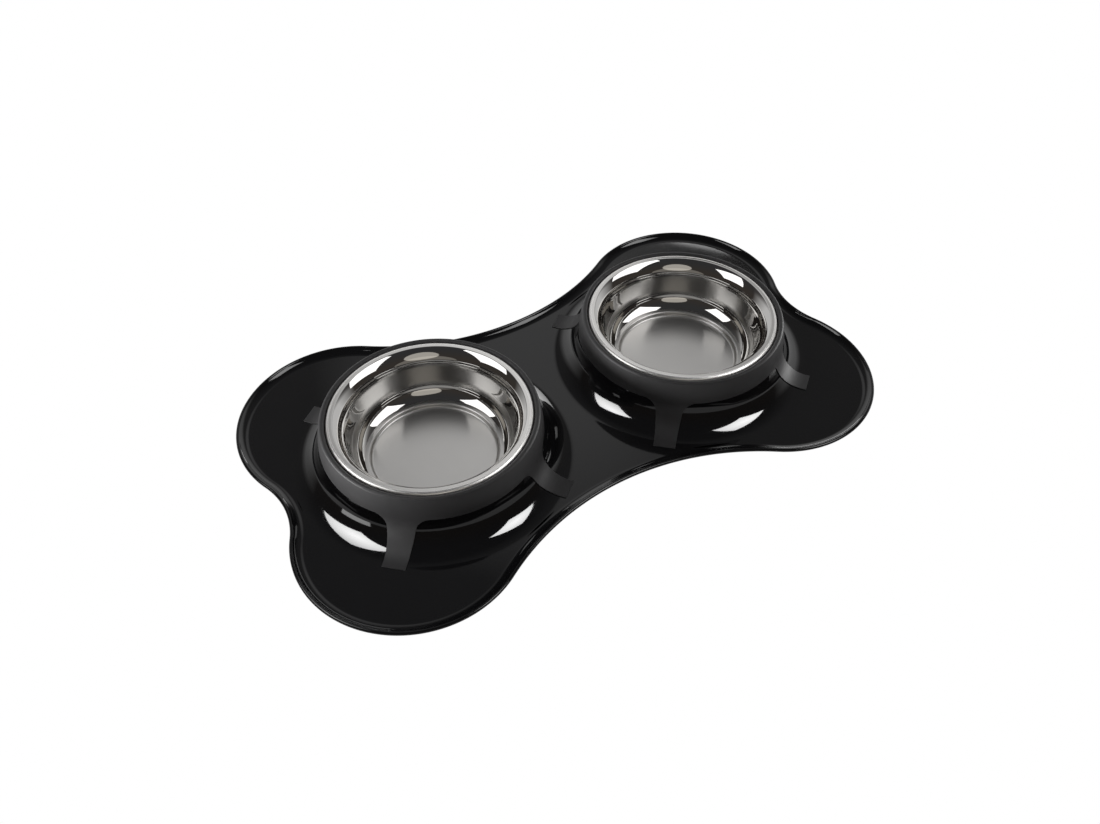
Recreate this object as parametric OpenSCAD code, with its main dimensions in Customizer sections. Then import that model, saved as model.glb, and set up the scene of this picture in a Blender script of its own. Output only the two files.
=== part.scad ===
// Double pet bowl: a bone-shaped moulded tray with two raised wells, a soft collar with four
// legs moulded over each well, two drawn steel bowls that hang in the wells by their rolled
// rims, and rubber feet. Millimetres, +Z up, +X along the bone, origin on the ground.

/* [Tray] */
// Overall length of the bone outline
tray_len = 435; // [425:1:445]
// Overall width of the bone outline, across two lobes
tray_w = 259; // [252:1:266]
// Radius of the four lobes
lobe_r = 75; // [70:1:80]
// Radius of the hollow at each end, between two lobes
notch_r = 58; // [45:1:70]
// Radius of the long hollow at the waist
waist_r = 185; // [160:1:220]
// Distance between the middles of the two wells
well_pitch = 200; // [198:1:206]
// Thickness of the moulded sheet
sheet_t = 2.6; // [2.4:0.1:3]
// Height of the tray floor's underside above the ground
ground_gap = 4.6; // [4:0.1:6]
// Height of the lip's crest above the floor
lip_h = 3.5; // [3.2:0.1:5]
// Tilt of the lip against the floor, in degrees
lip_tilt = 36; // [30:1:45]
// Inside radius of the bend between the floor and the lip
lip_bend_r = 2; // [1.5:0.1:2.5]

/* [Wells] */
// Radius of the well's neck, just under the collar
neck_r = 74; // [73.6:0.1:75]
// Radius of the flare between the neck and the floor
flare_r = 20.8; // [19.5:0.1:21]
// Thickness of the neck's wall behind the collar
neck_t = 2.2; // [1.8:0.1:2.4]
// Gap all round between the bowl's wall and the edge of the well
well_gap = 1; // [0.6:0.1:1.4]

/* [Collars] */
// Thickness of the collar's skin and legs
skin_t = 1.8; // [1.6:0.1:2]
// How far the skin and legs stand proud of the tray
skin_proud = 0.6; // [0.4:0.1:0.8]
// Radius of the collar's bulge, seen in section
bulge_r = 56; // [50:1:70]
// Thickness of the ledge that carries the bowl's rim
ledge_t = 2; // [1.6:0.1:2.4]
// Gap between the collar and the outside of the bowl's rim
rim_gap = 0.4; // [0.3:0.05:0.6]
// Gap between the ledge and the bottom of the bowl's rim
seat_gap = 0.3; // [0.2:0.05:0.4]
// Gap between the moulded collar and the curved faces of its pocket
bond_gap = 0.1; // [0.05:0.05:0.15]
// Angle of the legs away from the bone's long axis, in degrees
leg_angle = 50; // [45:1:55]
// Width of a leg at its root
leg_root_w = 18; // [16:0.5:20]
// Width of a leg at its foot
leg_foot_w = 15; // [12:0.5:16]
// Radius of the blend between a leg and the collar's lower edge
leg_blend_r = 11; // [8:0.5:12]
// Distance from the well's middle to the end of a leg
leg_reach = 97.5; // [96:0.5:100]

/* [Bowls] */
// Diameter of a bowl over its rolled rim
bowl_d = 136; // [134:1:138]
// Height of the rim's top above the ground
rim_z = 45; // [44.5:0.5:48]
// Depth of a bowl from the rim's top to the pressed disc
bowl_depth = 40.4; // [38:0.1:40.4]
// Thickness of the steel sheet
steel_t = 0.8; // [0.6:0.1:1]
// Thickness of the rolled rim
bead_d = 5; // [4.6:0.1:5.4]
// Width of the rim's flat top with its rounded edges
rim_w = 5.4; // [5:0.1:6]
// Radius of the rim's inner edge
edge_r = 1; // [0.9:0.1:1.4]
// How far the rim's roll turns, from its flat top to its end underneath, in degrees
roll_turn = 235; // [220:5:245]
// Radius of the rounded mouth under the rim
mouth_r = 17.5; // [16.5:0.5:18]
// Tilt at which the mouth runs into the rim's inner edge, in degrees
mouth_tilt = 53; // [51:1:56]
// Radius of the rounded heel between the wall and the bottom
heel_r = 17; // [16:0.5:17.5]
// Tilt at which the heel meets the flat bottom, in degrees
heel_tilt = 58; // [56:1:60]
// Radius of the flat bottom inside the heel
base_r = 47.2; // [46.6:0.1:47.8]
// Radius of the disc pressed into the bottom
disc_r = 43.3; // [41:0.1:43.5]
// Depth of the pressed disc under the flat ring
disc_drop = 3.4; // [3.3:0.1:4]
// Radius of the rounded step round the disc
step_r = 1.6; // [1.4:0.1:1.6]

/* [Feet] */
// Diameter of a rubber foot
foot_d = 20; // [16:0.5:22]
// Distance from the well's middle to a foot
foot_reach = 109; // [108.5:0.5:112]
// Radius of a foot's rounded lower edge
foot_edge_r = 1.2; // [0.8:0.1:1.6]
// Diameter of the shallow hollow under a foot
foot_cup_d = 9; // [6:0.5:10]
// Depth of the shallow hollow under a foot
foot_cup_h = 0.8; // [0.5:0.1:1.2]
// Depth of the collar under the floor that a foot is pushed into
socket_h = 2; // [1.5:0.1:2.4]
// Wall of that collar
socket_t = 1.6; // [1.2:0.1:2]
// Gap all round between a foot and its collar
socket_gap = 0.2; // [0.1:0.05:0.3]

/* [Hidden] */
$fn = 72;

// Extra length that cuts and overlaps take past a face
over = 1;

// How much larger a lip's round is than the one that just touches its two lines
kiss = 0.001;

// How much thinner the hollows' lip is on each side, and how far a lip runs past the meeting points
seam_step = 0.05;
seam_run = 0.5;

// How far a leg's blend would rise past the collar's lower edge, so that it meets it at an angle
leg_blend_rise = 0.5;

// Bone outline: the lobes' middle, the hollows' middles, and the turns where they meet
lobe = [tray_len / 2 - lobe_r, tray_w / 2 - lobe_r];
notch_x = lobe.x + sqrt((lobe_r + notch_r) ^ 2 - lobe.y ^ 2);
waist_y = lobe.y + sqrt((lobe_r + waist_r) ^ 2 - lobe.x ^ 2);
notch_turn = atan2(lobe.y, notch_x - lobe.x);
waist_turn = atan2(waist_y - lobe.y, lobe.x);

// Floor and lip, in section
floor_z = ground_gap + sheet_t;
half_t = sheet_t / 2;
lip_bend_mid_r = lip_bend_r + half_t;
lip_crest = [half_t, floor_z + lip_h - half_t];
lip_run = (lip_crest.y - floor_z - lip_bend_r + lip_bend_mid_r * cos(lip_tilt)) / sin(lip_tilt);
lip_bend = [lip_crest.x + lip_bend_mid_r * sin(lip_tilt) + lip_run * cos(lip_tilt),
            floor_z + lip_bend_r];

// Well and collar, in section: the flare's middle, the bulge's middle and the flat levels
flare = [neck_r + flare_r, floor_z + flare_r];
collar_z = flare.y;
collar_r = neck_r + skin_proud;
bulge = [collar_r - bulge_r, collar_z];
skin_depth = skin_t - skin_proud;
recess_r = bulge_r - skin_t - bond_gap;
rim_r = bowl_d / 2;
rim_seat_r = rim_r + rim_gap;
ledge_z = rim_z - bead_d - seat_gap;
flange_z = ledge_z - ledge_t;

// Crest of the collar: the circle that touches the bulge, the rim's level and the seat's wall
crest_dx = rim_seat_r - bulge.x;
crest_dz = rim_z - bulge.y;
crest_b = crest_dx - crest_dz + bulge_r;
crest_round = sqrt(crest_b ^ 2 - crest_dx ^ 2 - crest_dz ^ 2 + bulge_r ^ 2) - crest_b;
crest = [rim_seat_r + crest_round, rim_z - crest_round];
crest_way = (crest - bulge) / norm(crest - bulge);

// Bowl, in section: the middles of the roll, the rim's inner edge, the mouth and the heel, and
// the wall's tilt
bead_r = bead_d / 2;
bead = [rim_r - bead_r, rim_z - bead_r];
edge = [rim_r - rim_w + edge_r, rim_z - edge_r];
mouth = edge + (mouth_r - edge_r) * [cos(mouth_tilt), -sin(mouth_tilt)];
disc_z = rim_z - bowl_depth;
ring_z = disc_z + disc_drop;
heel = [base_r, ring_z] + heel_r * [-cos(heel_tilt), sin(heel_tilt)];
wall_tilt = acos((mouth_r + heel_r) / norm(mouth - heel))
            - atan2(mouth.y - heel.y, mouth.x - heel.x);
well_r = mouth.x - sqrt((mouth_r - steel_t) ^ 2 - (ledge_z - mouth.y) ^ 2) + well_gap;

// Feet stand on the lines from the wells' middles through the lobes' middles
foot_way = [lobe.x - well_pitch / 2, lobe.y];
foot_at = [well_pitch / 2, 0] + foot_reach * foot_way / norm(foot_way);
socket_r = foot_d / 2 + socket_gap;

// A section turned round the upright axis through a point, over part of a turn
module swept(middle, start, turn)
    translate(middle) rotate([0, 0, start]) rotate_extrude(angle = turn) children();

// A section placed on the outside of a bulging arc, so that it grows towards the middle
module outward(radius) translate([radius, 0]) mirror([1, 0]) children();

// The children once at each well
module each_well()
    for (side = [-1, 1]) translate([side * well_pitch / 2, 0, 0]) children();

// The lower left quarter of a ring, round the flare's middle
module flare_quarter(inner_r, outer_r) {
    translate(flare) intersection() {
        difference() {
            circle(r = outer_r);
            circle(r = inner_r);
        }
        translate([-outer_r - over, -outer_r - over]) square(outer_r + over);
    }
}

// The bone outline, drawn in by an inset. Its hollows cut a hair deeper than those that would
// just touch the lobes, so that the arcs cross.
module bone(inset) {
    lobe_in = lobe_r - inset;
    to_waist = [lobe.x - lobe_in * cos(waist_turn), lobe.y + lobe_in * sin(waist_turn)];
    to_notch = [lobe.x + lobe_in * cos(notch_turn), lobe.y - lobe_in * sin(notch_turn)];
    quarter = [to_notch, lobe, to_waist];
    mirrored = [for (i = [0:2]) [-quarter[2 - i].x, quarter[2 - i].y]];
    back = concat(quarter, mirrored);
    front = [for (i = [0:len(back) - 1]) -back[i]];
    difference() {
        polygon(concat(back, front));
        for (side = [-1, 1]) {
            translate([side * notch_x, 0]) circle(r = notch_r + inset + seam_step);
            translate([0, side * waist_y]) circle(r = waist_r + inset + seam_step);
        }
    }
    for (sx = [-1, 1], sy = [-1, 1])
        translate([sx * lobe.x, sy * lobe.y]) circle(r = lobe_in);
}

// Section of the lip: x runs inwards from the outline, y is the height. An inset makes the whole
// sheet thinner from both sides.
module lip_section(inset) {
    bend_in_r = lip_bend_r + inset;
    bend_out_r = lip_bend_r + sheet_t - inset;
    across = [sin(lip_tilt), cos(lip_tilt)];
    along = [-cos(lip_tilt), sin(lip_tilt)];
    side = (half_t - inset) * across;
    lower_corner = lip_bend - bend_out_r * [tan(lip_tilt / 2), 1];
    floor_in = lip_bend.x + over;
    beyond = lip_crest + sheet_t * along;
    difference() {
        polygon([beyond - side, beyond + side, lip_bend - bend_in_r * across, lip_bend,
                 lip_bend - [0, bend_in_r], [floor_in, floor_z - inset],
                 [floor_in, ground_gap + inset], lower_corner]);
        translate(lip_bend) circle(r = bend_in_r + kiss);
        difference() {
            polygon([lip_bend - bend_out_r * across, 2 * lower_corner - lip_bend,
                     lip_bend - [0, bend_out_r]]);
            translate(lip_bend) circle(r = bend_out_r + kiss);
        }
        difference() {
            polygon([lip_crest - 2 * side, lip_crest + 2 * side, beyond + along + 2 * side,
                     beyond + along - 2 * side]);
            translate(lip_crest) circle(r = half_t - inset + kiss);
        }
    }
}

// The turn that a run along an arc takes
function turn_of(run, radius) = run / radius * 180 / PI;

// The lip, swept along the eight arcs of the outline, each a little past the points where they
// meet. The hollows' lip is a hair thinner, so that it ends inside the lobes' lip.
module lip() {
    lobe_run = turn_of(seam_run, lobe_r);
    notch_half = notch_turn + turn_of(seam_run, notch_r);
    waist_half = 90 - waist_turn + turn_of(seam_run, waist_r);
    for (sx = [-1, 1], sy = [-1, 1])
        mirror([sx < 0 ? 1 : 0, 0, 0]) mirror([0, sy < 0 ? 1 : 0, 0])
            swept([lobe.x, lobe.y, 0], -notch_turn - lobe_run,
                  180 - waist_turn + notch_turn + 2 * lobe_run)
                outward(lobe_r) lip_section(0);
    for (side = [0, 180]) rotate([0, 0, side]) {
        swept([notch_x, 0, 0], 180 - notch_half, 2 * notch_half)
            translate([notch_r, 0]) lip_section(seam_step);
        swept([0, waist_y, 0], -90 - waist_half, 2 * waist_half)
            translate([waist_r, 0]) lip_section(seam_step);
    }
}

// Section of a well: the flare, the recessed neck behind the collar and the flange on top
module well_section() {
    flare_quarter(flare_r, flare_r + sheet_t);
    translate([flare.x, ground_gap]) square([over, sheet_t]);
    neck_z = collar_z - sheet_t;
    difference() {
        intersection() {
            translate(bulge) circle(r = recess_r);
            translate([well_r, neck_z]) square([recess_r, flange_z - neck_z]);
        }
        intersection() {
            translate(bulge) circle(r = recess_r - neck_t);
            translate([well_r - over, neck_z - over])
                square([recess_r, flange_z - sheet_t - neck_z + over]);
        }
    }
}

// Outline of a leg: x runs round the well, y is the height
module leg_outline(gap) {
    root = leg_root_w / 2 + gap;
    foot = leg_foot_w / 2 + gap;
    blend_r = leg_blend_r - gap;
    knee_z = collar_z + leg_blend_rise - leg_blend_r;
    low_z = floor_z - sheet_t;
    polygon([[-root, collar_z + over], [root, collar_z + over], [root, knee_z], [foot, floor_z],
             [foot, low_z], [-foot, low_z], [-foot, floor_z], [-root, knee_z]]);
    difference() {
        translate([-root - blend_r, knee_z])
            square([2 * root + 2 * blend_r, leg_blend_r + over]);
        for (side = [-1, 1]) translate([side * (root + blend_r), knee_z]) circle(r = blend_r);
    }
}

// The four legs as upright prisms, cut off square at their ends
module leg_prisms(gap) {
    for (turn = [leg_angle, 180 - leg_angle, -leg_angle, leg_angle - 180])
        rotate([0, 0, turn]) translate([well_r, 0, 0]) rotate([90, 0, 90])
            linear_extrude(height = leg_reach + gap - well_r) leg_outline(gap);
}

// Section of the band that the legs are cut from: it follows the flare down to the floor
module leg_band(gap) {
    flare_quarter(flare_r - skin_proud, flare_r + skin_depth + gap);
    translate([flare.x, floor_z - skin_depth - gap])
        square([leg_reach - flare.x + leg_foot_w, skin_t + gap]);
}

// Section of the collar's ring: skin, ledge and rounded crest
module ring_section() {
    difference() {
        union() {
            intersection() {
                translate(bulge) circle(r = bulge_r);
                polygon([[well_r, collar_z], [well_r, ledge_z], [rim_seat_r, ledge_z],
                         [rim_seat_r, crest.y], crest, bulge + (bulge_r + over) * crest_way,
                         [collar_r + over, collar_z]]);
            }
            translate(crest) circle(r = crest_round);
        }
        intersection() {
            translate(bulge) circle(r = bulge_r - skin_t);
            translate([well_r - over, collar_z - over]) square([bulge_r, flange_z - collar_z + over]);
        }
    }
}

// The middle of a foot, from the signs of its corner
function foot_middle(sx, sy) = [sx * foot_at.x, sy * foot_at.y, 0];

// Tray: floor, lip, two wells, four foot sockets, and the pockets that the legs lie in
module tray() {
    color([0.05, 0.05, 0.06]) difference() {
        union() {
            translate([0, 0, ground_gap]) linear_extrude(height = sheet_t) difference() {
                bone(lip_bend.x + over / 2);
                for (side = [-1, 1]) translate([side * well_pitch / 2, 0]) circle(r = flare.x + over / 2);
            }
            lip();
            each_well() rotate_extrude() well_section();
            for (sx = [-1, 1], sy = [-1, 1])
                translate(foot_middle(sx, sy) + [0, 0, ground_gap - socket_h]) difference() {
                    cylinder(r = socket_r + socket_t, h = socket_h + half_t);
                    translate([0, 0, -over]) cylinder(r = socket_r, h = socket_h + over);
                }
        }
        each_well() intersection() {
            rotate_extrude() leg_pocket_section();
            leg_prisms(bond_gap);
        }
    }
}

// Section of the leg pockets: the legs' band, open on the side that shows
module leg_pocket_section() {
    flare_quarter(flare_r - over, flare_r + skin_depth + bond_gap);
    translate([flare.x, floor_z - skin_depth - bond_gap])
        square([leg_reach - flare.x + leg_foot_w, skin_depth + bond_gap + over]);
}

// Collar: a ring with a ledge for the bowl's rim, and four legs that run down the flare
module collar(side) {
    span = leg_reach + leg_foot_w;
    color([0.28, 0.28, 0.3]) translate([side * well_pitch / 2, 0, 0]) intersection() {
        rotate_extrude() {
            ring_section();
            leg_band(0);
        }
        union() {
            translate([0, 0, collar_z]) cylinder(r = span, h = rim_z - collar_z + over);
            leg_prisms(0);
        }
    }
}

// The space enclosed by the bowl's sheet: its inner face, or its outer face a gauge further out
module bowl_space(gauge) {
    mouth_in = mouth_r - gauge;
    heel_out = heel_r + gauge;
    bottom = ring_z - gauge;
    facing = [-cos(wall_tilt), sin(wall_tilt)];
    lead = [-cos(mouth_tilt), sin(mouth_tilt)];
    rim_low_z = rim_z - gauge;
    above_z = gauge > 0 ? rim_z : rim_z + over;
    difference() {
        polygon([[0, bottom], [heel.x, bottom], heel, heel - heel_out * facing,
                 mouth + mouth_in * facing, mouth + mouth_in * lead, edge, [edge.x, rim_low_z],
                 [bead.x, rim_low_z], [bead.x, above_z], [0, above_z]]);
        intersection() {
            translate(mouth) circle(r = mouth_in);
            square([mouth.x, mouth.y + mouth_in * lead.y]);
        }
        translate(edge) circle(r = edge_r - gauge);
    }
    intersection() {
        translate(heel) circle(r = heel_out);
        translate([0, bottom]) square([2 * heel_out + heel.x, heel_out + heel.y]);
    }
    difference() {
        translate([0, ring_z - step_r]) square([disc_r + step_r, step_r]);
        translate([disc_r + step_r, ring_z - step_r]) circle(r = step_r - gauge);
    }
    translate([0, disc_z - gauge]) square([disc_r - step_r, disc_drop]);
    translate([0, disc_z + step_r]) square([disc_r + gauge, disc_drop - 2 * step_r]);
    translate([disc_r - step_r, disc_z + step_r]) circle(r = step_r + gauge);
}

// Section of the bowl: the drawn sheet up to the rim's flat top, and the open roll beyond it
module bowl_section() {
    roll_reach = 2 * bead_d;
    difference() {
        bowl_space(steel_t);
        bowl_space(0);
    }
    translate(bead) intersection() {
        difference() {
            circle(r = bead_r);
            circle(r = bead_r - steel_t);
        }
        polygon([[0, 0], for (share = [0:0.2:1])
            roll_reach * [cos(90 - share * roll_turn), sin(90 - share * roll_turn)]]);
    }
}

// Bowl: one drawn piece, rolled at the rim
module bowl(side) {
    color([0.75, 0.75, 0.73]) translate([side * well_pitch / 2, 0, 0])
        rotate_extrude() bowl_section();
}

// Foot: a rubber pad with a rounded lower edge and a shallow hollow under it
module foot(sx, sy) {
    color([0.12, 0.12, 0.12]) translate(foot_middle(sx, sy)) difference() {
        union() {
            translate([0, 0, foot_edge_r])
                cylinder(d = foot_d, h = ground_gap - foot_edge_r);
            cylinder(d = foot_d - 2 * foot_edge_r, h = foot_edge_r);
            rotate_extrude() translate([foot_d / 2 - foot_edge_r, foot_edge_r])
                circle(r = foot_edge_r);
        }
        translate([0, 0, -over]) cylinder(d = foot_cup_d, h = foot_cup_h + over);
    }
}

tray();
collar(-1);  // collar_left
collar(1);  // collar_right
bowl(-1);  // bowl_left
bowl(1);  // bowl_right
foot(-1, -1);  // foot_front_left
foot(1, -1);  // foot_front_right
foot(-1, 1);  // foot_back_left
foot(1, 1);  // foot_back_right
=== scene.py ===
"""Double pet bowl: gloss black bone-shaped tray, soft grey collars and polished steel bowls."""
import math

import bmesh
import bpy
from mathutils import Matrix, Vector


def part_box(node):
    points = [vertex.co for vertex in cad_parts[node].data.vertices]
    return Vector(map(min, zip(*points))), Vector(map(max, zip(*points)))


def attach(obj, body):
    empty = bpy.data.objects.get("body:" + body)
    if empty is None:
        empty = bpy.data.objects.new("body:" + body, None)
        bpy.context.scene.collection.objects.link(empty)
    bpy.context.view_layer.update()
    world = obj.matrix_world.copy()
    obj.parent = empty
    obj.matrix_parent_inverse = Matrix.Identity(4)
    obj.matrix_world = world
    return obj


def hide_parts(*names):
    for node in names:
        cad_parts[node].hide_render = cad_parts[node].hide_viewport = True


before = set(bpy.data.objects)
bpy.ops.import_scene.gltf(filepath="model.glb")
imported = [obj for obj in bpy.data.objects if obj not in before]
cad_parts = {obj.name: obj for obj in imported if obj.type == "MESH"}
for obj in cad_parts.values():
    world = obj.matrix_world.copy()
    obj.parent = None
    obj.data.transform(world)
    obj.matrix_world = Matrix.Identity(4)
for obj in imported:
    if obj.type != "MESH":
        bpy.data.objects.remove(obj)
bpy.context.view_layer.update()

# Lengths are in metres and angles in degrees. Sizes have the CAD's names and values.
MM = 0.001

# Tray
TRAY_LEN = 435 * MM
TRAY_W = 259 * MM
LOBE_R = 75 * MM
NOTCH_R = 58 * MM
WAIST_R = 185 * MM
WELL_PITCH = 200 * MM
SHEET_T = 2.6 * MM
GROUND_GAP = 4.6 * MM
LIP_H = 3.5 * MM
LIP_TILT = 36
LIP_BEND_R = 2 * MM

# Wells and collars
NECK_R = 74 * MM
FLARE_R = 20.8 * MM
NECK_T = 2.2 * MM
WELL_GAP = 1 * MM
SKIN_T = 1.8 * MM
SKIN_PROUD = 0.6 * MM
BULGE_R = 56 * MM
LEDGE_T = 2 * MM
SEAT_GAP = 0.3 * MM
BOND_GAP = 0.1 * MM

# Bowls
RIM_R = 68 * MM
RIM_Z = 45 * MM
BOWL_DEPTH = 40.4 * MM
STEEL_T = 0.8 * MM
BEAD_R = 2.5 * MM
RIM_W = 5.4 * MM
EDGE_R = 1 * MM
ROLL_TURN = 235
MOUTH_R = 17.5 * MM
MOUTH_TILT = 53
HEEL_R = 17 * MM
HEEL_TILT = 58
BASE_R = 47.2 * MM
DISC_R = 43.3 * MM
DISC_DROP = 3.4 * MM
STEP_R = 1.6 * MM

# Feet
FOOT_R = 10 * MM
SOCKET_H = 2 * MM
SOCKET_T = 1.6 * MM
SOCKET_GAP = 0.2 * MM

# Only drawn here: how steep the lip's hollow slope gets, and the narrow flats beside the rounds
LIP_HOLLOW = 51
FLAT_EDGE = 1.4 * MM

# How finely round shapes are drawn, how far an edge turns before it counts as sharp, and where
# the flat disc has one more ring of points
TURNS = 320
SOCKET_TURNS = 64
OUTLINE_STEP = 1.8 * MM
TRAY_CREASE = 35
BOWL_CREASE = 28
DISC_SPLIT_SHARE = 0.5

# Worked out: the tray's outline, and where the wells stand along it
LOBE = (TRAY_LEN / 2 - LOBE_R, TRAY_W / 2 - LOBE_R)
NOTCH_X = LOBE[0] + math.sqrt((LOBE_R + NOTCH_R) ** 2 - LOBE[1] ** 2)
WAIST_Y = LOBE[1] + math.sqrt((LOBE_R + WAIST_R) ** 2 - LOBE[0] ** 2)
NOTCH_TURN = math.degrees(math.atan2(LOBE[1], NOTCH_X - LOBE[0]))
WAIST_TURN = math.degrees(math.atan2(WAIST_Y - LOBE[1], LOBE[0]))
WELL_X = {"left": -WELL_PITCH / 2, "right": WELL_PITCH / 2}

# Worked out: sections, as distances from a well's axis and heights
FLOOR_Z = GROUND_GAP + SHEET_T
FLARE = (NECK_R + FLARE_R, FLOOR_Z + FLARE_R)
BULGE = (NECK_R + SKIN_PROUD - BULGE_R, FLARE[1])
RECESS_R = BULGE_R - SKIN_T - BOND_GAP
LEDGE_Z = RIM_Z - 2 * BEAD_R - SEAT_GAP
FLANGE_Z = LEDGE_Z - LEDGE_T
SOCKET_R = FOOT_R + SOCKET_GAP
BEAD = (RIM_R - BEAD_R, RIM_Z - BEAD_R)
EDGE = (RIM_R - RIM_W + EDGE_R, RIM_Z - EDGE_R)
MOUTH = (EDGE[0] + (MOUTH_R - EDGE_R) * math.cos(math.radians(MOUTH_TILT)),
         EDGE[1] - (MOUTH_R - EDGE_R) * math.sin(math.radians(MOUTH_TILT)))
DISC_Z = RIM_Z - BOWL_DEPTH
RING_Z = DISC_Z + DISC_DROP
HEEL = (BASE_R - HEEL_R * math.cos(math.radians(HEEL_TILT)),
        RING_Z + HEEL_R * math.sin(math.radians(HEEL_TILT)))
WALL_TILT = math.degrees(math.acos((MOUTH_R + HEEL_R) / math.dist(MOUTH, HEEL))
                         - math.atan2(MOUTH[1] - HEEL[1], MOUTH[0] - HEEL[0]))
WELL_R = MOUTH[0] - math.sqrt((MOUTH_R - STEEL_T) ** 2 - (LEDGE_Z - MOUTH[1]) ** 2) + WELL_GAP

COLLAR_NODES = ["collar_left", "collar_right"]
FOOT_NODES = ["foot_front_left", "foot_front_right", "foot_back_left", "foot_back_right"]


# Shapes


def arc(middle, radius, start, end, steps):
    """Points on an arc, from one angle to another."""
    angles = [math.radians(start + (end - start) * i / steps) for i in range(steps + 1)]
    return [(middle[0] + radius * math.cos(a), middle[1] + radius * math.sin(a)) for a in angles]


def ring(bm, points):
    """One vertex per point."""
    return [bm.verts.new(point) for point in points]


def circle(bm, middle, radius, z, turns):
    """A level circle of vertices, or its one vertex if the radius is zero."""
    if radius == 0:
        return ring(bm, [(*middle, z)])
    angles = [2 * math.pi * i / turns for i in range(turns)]
    return ring(bm, [(middle[0] + radius * math.cos(a), middle[1] + radius * math.sin(a), z)
                     for a in angles])


def bridge(bm, a, b, slot=0):
    """Faces between two closed rings of vertices, or between a ring and its pole."""
    count = max(len(a), len(b))
    for i in range(count):
        j = (i + 1) % count
        corners = [a[i % len(a)], a[j % len(a)], b[j % len(b)], b[i % len(b)]]
        unique = [vertex for k, vertex in enumerate(corners) if vertex is not corners[k - 1]]
        if len(unique) > 2:
            face = bm.faces.new(unique)
            face.material_index = slot


def edges_of(bm, loop):
    """The edges along a closed ring of vertices."""
    return [bm.edges.get((loop[i - 1], loop[i])) or bm.edges.new((loop[i - 1], loop[i]))
            for i in range(len(loop))]


def lathe(bm, middle, section, slots=None, closed=False, turns=TURNS):
    """A section turned round the upright axis through a point."""
    rings = [circle(bm, middle, r, z, turns) for r, z in section]
    following = rings[1:] + ([rings[0]] if closed else [])
    for k, (a, b) in enumerate(zip(rings, following)):
        bridge(bm, a, b, slots[k] if slots else 0)
    return rings


def finish_piece(name, bm, materials, body, nodes, crease):
    """Turns a bmesh into a piece that rides on a body and stands for CAD nodes."""
    bmesh.ops.recalc_face_normals(bm, faces=bm.faces)
    mesh = bpy.data.meshes.new(name)
    bm.to_mesh(mesh)
    bm.free()
    for material in materials:
        mesh.materials.append(material)
    mesh.shade_smooth()
    mesh.set_sharp_from_angle(angle=math.radians(crease))
    piece = bpy.data.objects.new(name, mesh)
    bpy.context.scene.collection.objects.link(piece)
    weighted = piece.modifiers.new("weighted", "WEIGHTED_NORMAL")
    weighted.keep_sharp = True
    weighted.weight = 100  # The largest faces alone set the normals
    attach(piece, body)
    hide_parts(*nodes)
    return piece


# Tray


def outline():
    """Samples along the eight arcs: the arc's middle, radius, direction and whether it bulges."""
    lobe_x, lobe_y = LOBE
    arcs = [
        ((lobe_x, lobe_y), LOBE_R, -NOTCH_TURN, 180 - WAIST_TURN, 1),
        ((0, WAIST_Y), WAIST_R, -WAIST_TURN, WAIST_TURN - 180, -1),
        ((-lobe_x, lobe_y), LOBE_R, WAIST_TURN, 180 + NOTCH_TURN, 1),
        ((-NOTCH_X, 0), NOTCH_R, NOTCH_TURN, -NOTCH_TURN, -1),
        ((-lobe_x, -lobe_y), LOBE_R, 180 - NOTCH_TURN, 360 - WAIST_TURN, 1),
        ((0, -WAIST_Y), WAIST_R, 180 - WAIST_TURN, WAIST_TURN, -1),
        ((lobe_x, -lobe_y), LOBE_R, WAIST_TURN - 180, NOTCH_TURN, 1),
        ((NOTCH_X, 0), NOTCH_R, 180 + NOTCH_TURN, 180 - NOTCH_TURN, -1),
    ]
    samples = []
    for middle, radius, start, end, bulges in arcs:
        steps = math.ceil(radius * math.radians(abs(end - start)) / OUTLINE_STEP)
        for i in range(steps):
            angle = math.radians(start + (end - start) * i / steps)
            samples.append((middle, radius, angle, bulges))
    return samples


def drawn_in(samples, inset, z):
    """The outline at a distance inside its edge."""
    points = []
    for middle, radius, angle, bulges in samples:
        r = radius - bulges * inset
        points.append((middle[0] + r * math.cos(angle), middle[1] + r * math.sin(angle), z))
    return points


def lip_path():
    """Section of the lip, from the floor's top over the crest to its underside: inset and height.
    The top is one hollow arc between the floor and the crest, and the underside is the CAD's."""
    crest_r = SHEET_T / 2
    crest = (crest_r, FLOOR_Z + LIP_H - crest_r)

    hollow = math.radians(LIP_HOLLOW)
    hollow_r = (LIP_H - crest_r + crest_r * math.cos(hollow)) / (1 - math.cos(hollow))
    hollow_mid = (crest[0] + (crest_r + hollow_r) * math.sin(hollow), FLOOR_Z + hollow_r)
    top = arc(hollow_mid, hollow_r, -90, -90 - LIP_HOLLOW, steps=16)
    over_crest = arc(crest, crest_r, 90 - LIP_HOLLOW, 270 - LIP_TILT, steps=16)

    tilt = math.radians(LIP_TILT)
    bend_mid_r = LIP_BEND_R + SHEET_T / 2
    rise = crest[1] - FLOOR_Z - LIP_BEND_R + bend_mid_r * math.cos(tilt)
    bend = (crest[0] + bend_mid_r * math.sin(tilt) + rise / math.tan(tilt), FLOOR_Z + LIP_BEND_R)
    under = arc(bend, LIP_BEND_R + SHEET_T, -90 - LIP_TILT, -90, steps=8)

    flat_x = hollow_mid[0] + FLAT_EDGE
    return [(flat_x, FLOOR_Z)] + top + over_crest + under + [(flat_x, GROUND_GAP)]


def on_bulge(radius, z):
    """The point at a height on a circle about the middle of the collar's bulge."""
    return BULGE[0] + math.sqrt(radius ** 2 - (z - BULGE[1]) ** 2), z


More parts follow.
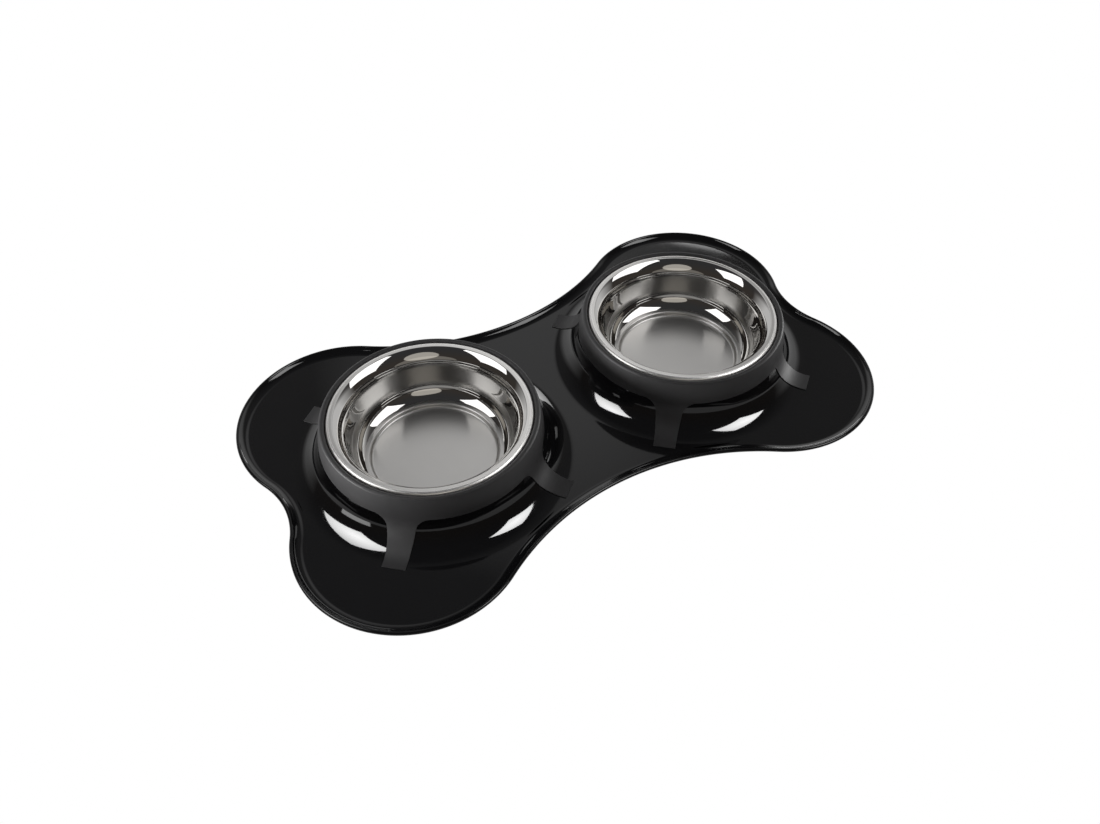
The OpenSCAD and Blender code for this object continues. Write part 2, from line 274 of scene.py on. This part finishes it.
def well_path():
    """Section of a well, from the floor's top up the flare, over the flange and down inside."""
    flare = arc(FLARE, FLARE_R, -90, -180, steps=28)
    neck_steps = 6
    neck = [on_bulge(RECESS_R, FLARE[1] + (FLANGE_Z - FLARE[1]) * i / neck_steps)
            for i in range(neck_steps + 1)]
    flange_under = FLANGE_Z - SHEET_T
    inner_r = RECESS_R - NECK_T
    inside = [(WELL_R, FLANGE_Z), (WELL_R, flange_under), on_bulge(inner_r, flange_under),
              on_bulge(inner_r, FLARE[1] - SHEET_T)]
    under_r = FLARE_R + SHEET_T
    foot_turn = math.degrees(math.asin(SHEET_T / under_r))
    under = arc(FLARE, under_r, -180 + foot_turn, -90, steps=28)
    flat_x = FLARE[0] + FLAT_EDGE
    return [(flat_x, FLOOR_Z)] + flare + neck + inside + under + [(flat_x, GROUND_GAP)]


def build_tray_floor(material, foot_middles):
    """The moulded floor with its two wells, and the sockets under it that hold the feet."""
    bm = bmesh.new()
    samples = outline()
    lip = lip_path()
    wells = [lathe(bm, (x, 0), well_path()) for x in WELL_X.values()]
    for end in (0, -1):
        inset, z = lip[end]
        loops = [ring(bm, drawn_in(samples, inset, z))] + [well[end] for well in wells]
        edges = [edge for loop in loops for edge in edges_of(bm, loop)]
        bmesh.ops.triangle_fill(bm, use_beauty=True, use_dissolve=False, edges=edges)
    socket_low = GROUND_GAP - SOCKET_H
    socket_root = GROUND_GAP + SHEET_T / 2
    socket = [(SOCKET_R, socket_low), (SOCKET_R + SOCKET_T, socket_low),
              (SOCKET_R + SOCKET_T, socket_root), (SOCKET_R, socket_root)]
    for middle in foot_middles:
        lathe(bm, middle, socket, closed=True, turns=SOCKET_TURNS)
    return finish_piece("tray_floor", bm, [material], "base", ["tray"],
                        TRAY_CREASE)


def build_tray_lip(material):
    """The lip that rolls over all round the floor. It is a piece of its own for its own light."""
    bm = bmesh.new()
    samples = outline()
    rings = [ring(bm, drawn_in(samples, inset, z)) for inset, z in lip_path()]
    for a, b in zip(rings, rings[1:]):
        bridge(bm, a, b)
    return finish_piece("tray_lip", bm, [material], "base", ["tray"],
                        TRAY_CREASE)


# Bowls

# A bowl's finishes: name, shine, roughness, how uneven that is, and depth of the turned lines.
# The rim's shine is painted light: it is the same steel as the wall, made much paler so that it
# looks brightly lit
MIRROR, SATIN, RIM = range(3)
FINISHES = [
    ("mirror", 0.50, 0.03, 0.05, 0.00015 * MM),
    ("satin", 0.52, 0.32, 0.04, 0.0003 * MM),
    # Painted highlight: the rim's shine of 0.9, against the wall's 0.5, paints brightness onto
    # the rim
    ("rim", 0.9, 0.36, 0.04, 0.0003 * MM),
]


def bowl_section():
    """Section of a bowl, from its middle over the rolled rim and back underneath, and the finish
    of each stretch. The outer side has fewer points, because less of it shows."""
    under_turn = math.degrees(math.asin((HEEL[1] - RING_Z + STEEL_T) / (HEEL_R + STEEL_T)))
    split_r = DISC_R * DISC_SPLIT_SHARE
    inner_step = (DISC_R - STEP_R, DISC_Z + STEP_R)
    outer_step = (DISC_R + STEP_R, RING_Z - STEP_R)
    stretches = [
        (SATIN, [(0, DISC_Z), (split_r, DISC_Z), (inner_step[0] - FLAT_EDGE, DISC_Z)]),
        (SATIN, arc(inner_step, STEP_R, -90, 0, steps=8)),
        (SATIN, arc(outer_step, STEP_R, 180, 90, steps=8)),
        (SATIN, [(BASE_R - FLAT_EDGE / 2, RING_Z)]),
        (MIRROR, arc(HEEL, HEEL_R, -HEEL_TILT, -WALL_TILT, steps=28)),
        (MIRROR, arc(MOUTH, MOUTH_R, 180 - WALL_TILT, 180 - MOUTH_TILT, steps=28)),
        (MIRROR, arc(EDGE, EDGE_R, 180 - MOUTH_TILT, 90, steps=8)),
        (RIM, arc(BEAD, BEAD_R, 90, 90 - ROLL_TURN, steps=40)),
        (SATIN, arc(BEAD, BEAD_R - STEEL_T, 450 - ROLL_TURN, 90, steps=12)),
        (MIRROR, arc(EDGE, EDGE_R - STEEL_T, 90, 180 - MOUTH_TILT, steps=4)),
        (MIRROR, arc(MOUTH, MOUTH_R - STEEL_T, 180 - MOUTH_TILT, 180 - WALL_TILT, steps=16)),
        (MIRROR, arc(HEEL, HEEL_R + STEEL_T, -WALL_TILT, -under_turn, steps=16)),
        (MIRROR, arc(outer_step, STEP_R - STEEL_T, 90, 180, steps=6)),
        (MIRROR, arc(inner_step, STEP_R + STEEL_T, 0, -90, steps=6)),
        (MIRROR, [(split_r, DISC_Z - STEEL_T), (0, DISC_Z - STEEL_T)]),
    ]
    section = [point for finish, points in stretches for point in points]
    slots = [finish for finish, points in stretches for point in points]
    return section, slots


def build_bowl(side, x):
    """One drawn bowl with a rolled rim."""
    bm = bmesh.new()
    section, slots = bowl_section()
    lathe(bm, (x, 0), section, slots)
    materials = [steel(f"steel_{finish}_{side}", x, *look) for finish, *look in FINISHES]
    return finish_piece(f"bowl_{side}_steel", bm, materials, f"bowl_{side}", [f"bowl_{side}"],
                        BOWL_CREASE)


# Collars and feet


def dress(node, material):
    """Gives a CAD node its material and smooth shading."""
    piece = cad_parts[node]
    piece.data.materials.clear()
    piece.data.materials.append(material)
    piece.data.shade_smooth()
    return piece


# Materials

# The middle part of a noise's range, where nearly all of its values lie
NOISE_SPAN = (0.3, 0.7)

# Gloss black: colours and roughness from the haze's low to its high, index, and the orange peel
BLACK_COLOURS = ((0.0090, 0.0088, 0.0098), (0.0130, 0.0128, 0.0140))
BLACK_ROUGH = (0.035, 0.07)
BLACK_IOR = 1.52
PEEL_DEPTH = 0.008 * MM
PEEL_STRENGTH = 0.25

# Soft grey
GREY_COLOURS = ((0.036, 0.0352, 0.0365), (0.044, 0.0432, 0.0445))
GREY_ROUGH = (0.46, 0.54)
GREY_STRENGTH = 0.5

# Rubber, and the depth of the grain that it shares with the soft grey
RUBBER_COLOURS = ((0.018, 0.018, 0.018), (0.03, 0.03, 0.03))
RUBBER_ROUGH = (0.6, 0.8)
RUBBER_STRENGTH = 0.6
GRAIN_DEPTH = 0.05 * MM

# Steel: how much its haze dims and brightens it, and its slightly warm tint at both ends
STEEL_HAZE = (0.97, 1.03)
STEEL_TINTS = ((1, 0.985, 0.96), (1, 0.985, 0.965))


def node_material(name):
    """A node material with its tree, its shader and a socket that gives places on the object."""
    material = bpy.data.materials.new(name)
    material.use_nodes = True
    tree = material.node_tree
    coords = tree.nodes.new("ShaderNodeTexCoord")
    return material, tree, tree.nodes["Principled BSDF"], coords.outputs["Object"]


def maths(tree, operation, *values):
    """A maths node on sockets and numbers."""
    node = tree.nodes.new("ShaderNodeMath")
    node.operation = operation
    for socket, value in zip(node.inputs, values):
        if isinstance(value, bpy.types.NodeSocket):
            tree.links.new(value, socket)
        else:
            socket.default_value = value
    return node.outputs["Value"]


def noise(tree, place, scale, detail, rough):
    """A noise whose number of waves in a metre is about its scale."""
    texture = tree.nodes.new("ShaderNodeTexNoise")
    texture.inputs["Scale"].default_value = scale
    texture.inputs["Detail"].default_value = detail
    texture.inputs["Roughness"].default_value = rough
    tree.links.new(place, texture.inputs["Vector"])
    return texture.outputs["Fac"]


def remap(tree, value, span, new_span):
    """A value brought from one span to another, and held at its ends."""
    node = tree.nodes.new("ShaderNodeMapRange")
    node.inputs["From Min"].default_value, node.inputs["From Max"].default_value = span
    node.inputs["To Min"].default_value, node.inputs["To Max"].default_value = new_span
    tree.links.new(value, node.inputs["Value"])
    return node.outputs["Result"]


def tinted(tree, value, colours):
    """A colour between two, by a value from zero to one."""
    ramp = tree.nodes.new("ShaderNodeValToRGB")
    for stop, colour in zip(ramp.color_ramp.elements, colours):
        stop.color = (*colour, 1)
    tree.links.new(value, ramp.inputs["Fac"])
    return ramp.outputs["Color"]


def vary(tree, shader, colour, roughness, relief):
    """Lets noises vary a shader. Each is given with what it does: a noise with two colours, one
    with two roughnesses, and one with a depth and a strength."""
    colour_noise, *colours = colour
    tree.links.new(tinted(tree, colour_noise, colours), shader.inputs["Base Color"])
    rough_noise, *rough_span = roughness
    tree.links.new(remap(tree, rough_noise, NOISE_SPAN, rough_span), shader.inputs["Roughness"])
    height, depth, strength = relief
    bump = tree.nodes.new("ShaderNodeBump")
    bump.inputs["Distance"].default_value = depth
    bump.inputs["Strength"].default_value = strength
    tree.links.new(height, bump.inputs["Height"])
    tree.links.new(bump.outputs["Normal"], shader.inputs["Normal"])


def gloss_black():
    """Moulded black plastic with a high gloss: a faint orange peel and slight handling haze."""
    material, tree, shader, place = node_material("tray_gloss_black")
    haze = noise(tree, place, scale=38, detail=5, rough=0.6)
    peel = noise(tree, place, scale=420, detail=2, rough=0.4)
    vary(tree, shader, (haze, *BLACK_COLOURS), (haze, *BLACK_ROUGH),
         (peel, PEEL_DEPTH, PEEL_STRENGTH))
    shader.inputs["IOR"].default_value = BLACK_IOR
    return material


def soft_grey():
    """Soft-touch elastomer: matte, with a fine spark-eroded grain."""
    material, tree, shader, place = node_material("collar_soft_grey")
    grain = noise(tree, place, scale=2600, detail=2, rough=0.6)
    cloud = noise(tree, place, scale=55, detail=4, rough=0.6)
    vary(tree, shader, (cloud, *GREY_COLOURS), (cloud, *GREY_ROUGH),
         (grain, GRAIN_DEPTH, GREY_STRENGTH))
    return material


def rubber():
    """Black rubber of the feet."""
    material, tree, shader, place = node_material("foot_rubber")
    grain = noise(tree, place, scale=1800, detail=3, rough=0.6)
    vary(tree, shader, (grain, *RUBBER_COLOURS), (grain, *RUBBER_ROUGH),
         (grain, GRAIN_DEPTH, RUBBER_STRENGTH))
    return material


def around(tree, place, axis_x):
    """Distance from a bowl's axis, and height. A noise of it runs in rings round the bowl."""
    parts = tree.nodes.new("ShaderNodeSeparateXYZ")
    tree.links.new(place, parts.inputs["Vector"])
    level = tree.nodes.new("ShaderNodeCombineXYZ")
    tree.links.new(maths(tree, "SUBTRACT", parts.outputs["X"], axis_x), level.inputs["X"])
    tree.links.new(parts.outputs["Y"], level.inputs["Y"])
    distance = tree.nodes.new("ShaderNodeVectorMath")
    distance.operation = "LENGTH"
    tree.links.new(level.outputs["Vector"], distance.inputs[0])
    ring_place = tree.nodes.new("ShaderNodeCombineXYZ")
    tree.links.new(distance.outputs["Value"], ring_place.inputs["X"])
    tree.links.new(parts.outputs["Z"], ring_place.inputs["Z"])
    return ring_place.outputs["Vector"]


def steel(name, axis_x, shine, rough, uneven, line_depth):
    """Stainless steel with turned lines round the bowl's axis, a fine grain and a faint haze."""
    material, tree, shader, place = node_material(name)
    lines = noise(tree, around(tree, place, axis_x), scale=2400, detail=3, rough=0.6)
    grain = noise(tree, place, scale=1500, detail=2, rough=0.5)
    haze = noise(tree, place, scale=60, detail=4, rough=0.55)
    colours = [[shine * share * part for part in tint]
               for share, tint in zip(STEEL_HAZE, STEEL_TINTS)]
    vary(tree, shader, (haze, *colours), (grain, rough * (1 - uneven), rough * (1 + uneven)),
         (lines, line_depth, 1))
    shader.inputs["Metallic"].default_value = 1
    return material


# Studio

# Camera, worked out from the two rims and the tray's outline. Lens and sensor are in millimetres.
CAMERA_TURN = -29.55
CAMERA_RISE = 46.83
CAMERA_TARGET = Vector((-31.6 * MM, -38.2 * MM, 45 * MM))
CAMERA_DISTANCE = 637 * MM
CAMERA_LENS = 31.94
CAMERA_SENSOR = 36
CAMERA_CLIP = 10 * MM

# Floor: half its width, its colour, and how brightly gloss mirrors it
FLOOR_HALF = 4
FLOOR_COLOUR = (0.8, 0.8, 0.8, 1)
FLOOR_IN_GLOSS = 0.3

# World, as the object sees it: a dark room, coloured from low to high, with a pale light behind.
# The light is full in a low band, faint over all of the back and strong in a spot high up. A WAY
# is a direction, and a SPAN has the cosines or heights between which a part comes up or fades.
WHITE = (1, 1, 1, 1)
PALE = (0.85, 0.85, 0.85, 1)
ROOM_COLOURS = ((0.060, 0.052, 0.046), (0.050, 0.050, 0.052))
ROOM_SPAN = (0.3, 0.8)
BACK_WAY = (0.56, 0.83, 0)
BACK_SPAN = (0.2, 0.6)
BACK_SHARE = 0.12
BAND_SPAN = (0.38, 0.58)
SPOT_WAY = (0.338, 0.635, 0.695)
SPOT_SPAN = (0.972, 0.998)
SPOT_SHARE = 0.75

# How bright a softbox's picture is in the tray, in its lip and in the collars and feet
TRAY_PICTURE = 22
LIP_PICTURE = 5
PLASTIC_PICTURE = 2.5

# How far a softbox's picture spreads, so that it fades from its middle to its edges, and how far
# each picture stands before the one behind it
PICTURE_SPREAD = 90
PICTURE_GAP = 20 * MM

# Softboxes and cards stand about the left well: name, turn, distance, rise, size and radiance.
# A softbox's distance is level, and a card's is straight.
LEFT_WELL = Vector((WELL_X["left"], 0, 0))
SOFTBOXES = [
    ("softbox_left", -106, 0.45, 51, (0.37, 0.38), 1.7),
    ("softbox_right", 49.5, 2.2, 51, (1.3, 1.6), 1.7),
]
BOWL_CARDS = [
    ("bowl_box_left", -107, 1.1, 43, (0.65, 0.66), 2.4),
    ("bowl_box_right", 56.5, 1.4, 44, (0.87, 0.9), 2.4),
    ("bowl_top", 141, 1.5, 53, (1.6, 1.0), 0.42),
]
BEIGE = (1, 0.95, 0.86)
BEIGE_CARDS = [
    ("card_front", -18, 1.65, 27, (1.1, 1.0), 0.6),
    ("card_low", -22, 1.65, 8, (2.4, 0.9), 0.2),
]
TRAY_CARDS = [
    ("card_left", -91, 0.8, 6, (0.36, 0.16), 4),
    ("card_back", 132, 1.1, 16, (0.42, 0.5), 3.5),
]

# Low lights from the sides, for the collars: name, place, target, size and radiance
FILLS = [
    ("fill_left", (-1.1, 0.2, 0.12), (-0.1, 0, 0.03), (0.8, 0.2), 24),
    ("fill_right", (1.1, -0.1, 0.15), (0, 0, 0.03), (0.6, 0.2), 12),
]


def direction(turn, rise):
    """The way to look at a turn from the front, towards +X, and a rise over the ground."""
    level = math.cos(math.radians(rise))
    return Vector((math.sin(math.radians(turn)) * level, -math.cos(math.radians(turn)) * level,
                   math.sin(math.radians(rise))))


def aim(thing, target):
    """Turns a camera or a lamp so that it looks at a point."""
    way = Vector(target) - thing.location
    thing.rotation_euler = way.to_track_quat("-Z", "Y").to_euler()


def build_camera():
    """The photograph's viewpoint."""
    data = bpy.data.cameras.new("camera")
    data.lens = CAMERA_LENS
    data.sensor_width = CAMERA_SENSOR
    data.clip_start = CAMERA_CLIP
    camera = bpy.data.objects.new("camera", data)
    camera.location = CAMERA_TARGET + CAMERA_DISTANCE * direction(CAMERA_TURN, CAMERA_RISE)
    aim(camera, CAMERA_TARGET)
    bpy.context.scene.collection.objects.link(camera)
    bpy.context.scene.camera = camera


def show_mix(tree, share, first, second, output):
    """Sends a mix of two shaders to the tree's output, with more of the second as share grows."""
    mix = tree.nodes.new("ShaderNodeMixShader")
    tree.links.new(share, mix.inputs["Fac"])
    tree.links.new(first, mix.inputs[1])
    tree.links.new(second, mix.inputs[2])
    tree.links.new(mix.outputs["Shader"], tree.nodes.new(output).inputs["Surface"])


def floor_white():
    """White for the camera, pale in gloss, and otherwise a plain pale floor."""
    material = bpy.data.materials.new("floor_white")
    material.use_nodes = True
    tree = material.node_tree
    tree.nodes.clear()
    diffuse = tree.nodes.new("ShaderNodeBsdfDiffuse")
    diffuse.inputs["Color"].default_value = FLOOR_COLOUR
    glow = tree.nodes.new("ShaderNodeEmission")
    glow.inputs["Color"].default_value = WHITE
    path = tree.nodes.new("ShaderNodeLightPath")
    in_gloss = maths(tree, "MULTIPLY", path.outputs["Is Glossy Ray"], FLOOR_IN_GLOSS)
    share = maths(tree, "MAXIMUM", path.outputs["Is Camera Ray"], in_gloss)
    show_mix(tree, share, diffuse.outputs["BSDF"], glow.outputs["Emission"],
             "ShaderNodeOutputMaterial")
    return material


def build_floor():
    """A level floor under the object."""
    bm = bmesh.new()
    corners = [(-1, -1), (1, -1), (1, 1), (-1, 1)]
    bm.faces.new(ring(bm, [(x * FLOOR_HALF, y * FLOOR_HALF, 0) for x, y in corners]))
    mesh = bpy.data.meshes.new("floor")
    bm.to_mesh(mesh)
    bm.free()
    mesh.materials.append(floor_white())
    floor = bpy.data.objects.new("floor", mesh)
    bpy.context.scene.collection.objects.link(floor)


def along(tree, way, other):
    """How far one direction points along another: the cosine between them."""
    node = tree.nodes.new("ShaderNodeVectorMath")
    node.operation = "DOT_PRODUCT"
    node.inputs[1].default_value = other
    tree.links.new(way, node.inputs[0])
    return node.outputs["Value"]


def studio_colour(tree, way):
    """The dark studio with its pale light, by the direction that a ray takes."""
    parts = tree.nodes.new("ShaderNodeSeparateXYZ")
    tree.links.new(way, parts.inputs["Vector"])
    height = parts.outputs["Z"]
    backward = along(tree, way, BACK_WAY)
    band = maths(tree, "MULTIPLY", remap(tree, backward, BACK_SPAN, (0, 1)),
                 remap(tree, height, BAND_SPAN, (1, 0)))
    back = remap(tree, backward, BACK_SPAN, (0, BACK_SHARE))
    spot = remap(tree, along(tree, way, SPOT_WAY), SPOT_SPAN, (0, SPOT_SHARE))
    mix = tree.nodes.new("ShaderNodeMix")
    mix.data_type = "RGBA"
    share = maths(tree, "MAXIMUM", maths(tree, "MAXIMUM", band, back), spot)
    tree.links.new(share, mix.inputs["Factor"])
    room = tinted(tree, remap(tree, height, ROOM_SPAN, (0, 1)), ROOM_COLOURS)
    tree.links.new(room, mix.inputs["A"])
    mix.inputs["B"].default_value = PALE
    return mix.outputs["Result"]


def build_world():
    """White for the camera, and the studio for everything else."""
    world = bpy.data.worlds.new("studio")
    world.use_nodes = True
    bpy.context.scene.world = world
    tree = world.node_tree
    tree.nodes.clear()
    coords = tree.nodes.new("ShaderNodeTexCoord")
    studio = tree.nodes.new("ShaderNodeBackground")
    tree.links.new(studio_colour(tree, coords.outputs["Generated"]), studio.inputs["Color"])
    white = tree.nodes.new("ShaderNodeBackground")
    white.inputs["Color"].default_value = WHITE
    path = tree.nodes.new("ShaderNodeLightPath")
    show_mix(tree, path.outputs["Is Camera Ray"], studio.outputs["Background"],
             white.outputs["Background"], "ShaderNodeOutputWorld")


def lamp(name, place, target, size, radiance, pieces=None, shape="RECTANGLE"):
    """A flat lamp of one radiance, aimed at a point. It may light only some pieces."""
    data = bpy.data.lights.new(name, "AREA")
    data.shape = shape
    data.size, data.size_y = size
    area = size[0] * size[1] * (math.pi / 4 if shape == "ELLIPSE" else 1)
    data.energy = radiance * math.pi * area
    thing = bpy.data.objects.new(name, data)
    thing.location = place
    aim(thing, target)
    bpy.context.scene.collection.objects.link(thing)
    if pieces:
        receivers = bpy.data.collections.new(name + "_receivers")
        for piece in pieces:
            receivers.objects.link(piece)
        thing.light_linking.receiver_collection = receivers
    return thing


def softbox(name, turn, distance, rise, size, radiance, pictures):
    """A leaning softbox. One lamp sheds its light. The others carry its picture, because the
    photograph's contrast on gloss, on its lip and on grey can't be had from one."""
    outward = direction(turn, rise)
    middle = LEFT_WELL + distance / math.cos(math.radians(rise)) * outward
    shed = lamp(name, middle, middle - outward, size, radiance)
    shed.visible_glossy = False
    for k, (pieces, picture_radiance) in enumerate(pictures):
        place = middle - (k + 1) * PICTURE_GAP * outward
        picture = lamp(f"{name}_picture_{k}", place, place - outward, size, picture_radiance,
                       pieces)
        picture.visible_diffuse = False
        half_spread = math.radians(PICTURE_SPREAD / 2)
        picture.data.spread = 2 * half_spread
        picture.data.energy *= 1 - half_spread / math.tan(half_spread)


def card(name, turn, distance, rise, size, radiance, pieces, shape="RECTANGLE"):
    """A bright card that only the gloss of some pieces shows."""
    middle = LEFT_WELL + distance * direction(turn, rise)
    thing = lamp(name, middle, LEFT_WELL, size, radiance, pieces, shape)
    thing.visible_diffuse = False
    return thing


def light(tray, lip, bowls, plastic):
    """All lamps, each kind for its pieces."""
    pictures = [([tray], TRAY_PICTURE), ([lip], LIP_PICTURE), (plastic, PLASTIC_PICTURE)]
    for row in SOFTBOXES:
        softbox(*row, pictures)
    for row in BOWL_CARDS:
        card(*row, bowls)
    for row in FILLS:
        lamp(*row, plastic)
    for row in BEIGE_CARDS:
        beige = card(*row, bowls, "ELLIPSE")
        beige.data.color = BEIGE
    for row in TRAY_CARDS:
        card(*row, [tray])


def main():
    """Builds the studio and the object in it, and lights the object."""
    build_camera()
    build_floor()
    build_world()
    bpy.context.scene.view_settings.view_transform = "Standard"

    foot_boxes = [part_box(node) for node in FOOT_NODES]
    foot_middles = [((low[0] + high[0]) / 2, (low[1] + high[1]) / 2) for low, high in foot_boxes]
    black = gloss_black()
    tray = build_tray_floor(black, foot_middles)
    lip = build_tray_lip(black)
    bowls = [build_bowl(side, x) for side, x in WELL_X.items()]
    grey = soft_grey()
    collars = [dress(node, grey) for node in COLLAR_NODES]
    black_rubber = rubber()
    feet = [dress(node, black_rubber) for node in FOOT_NODES]
    light(tray, lip, bowls, collars + feet)


main()
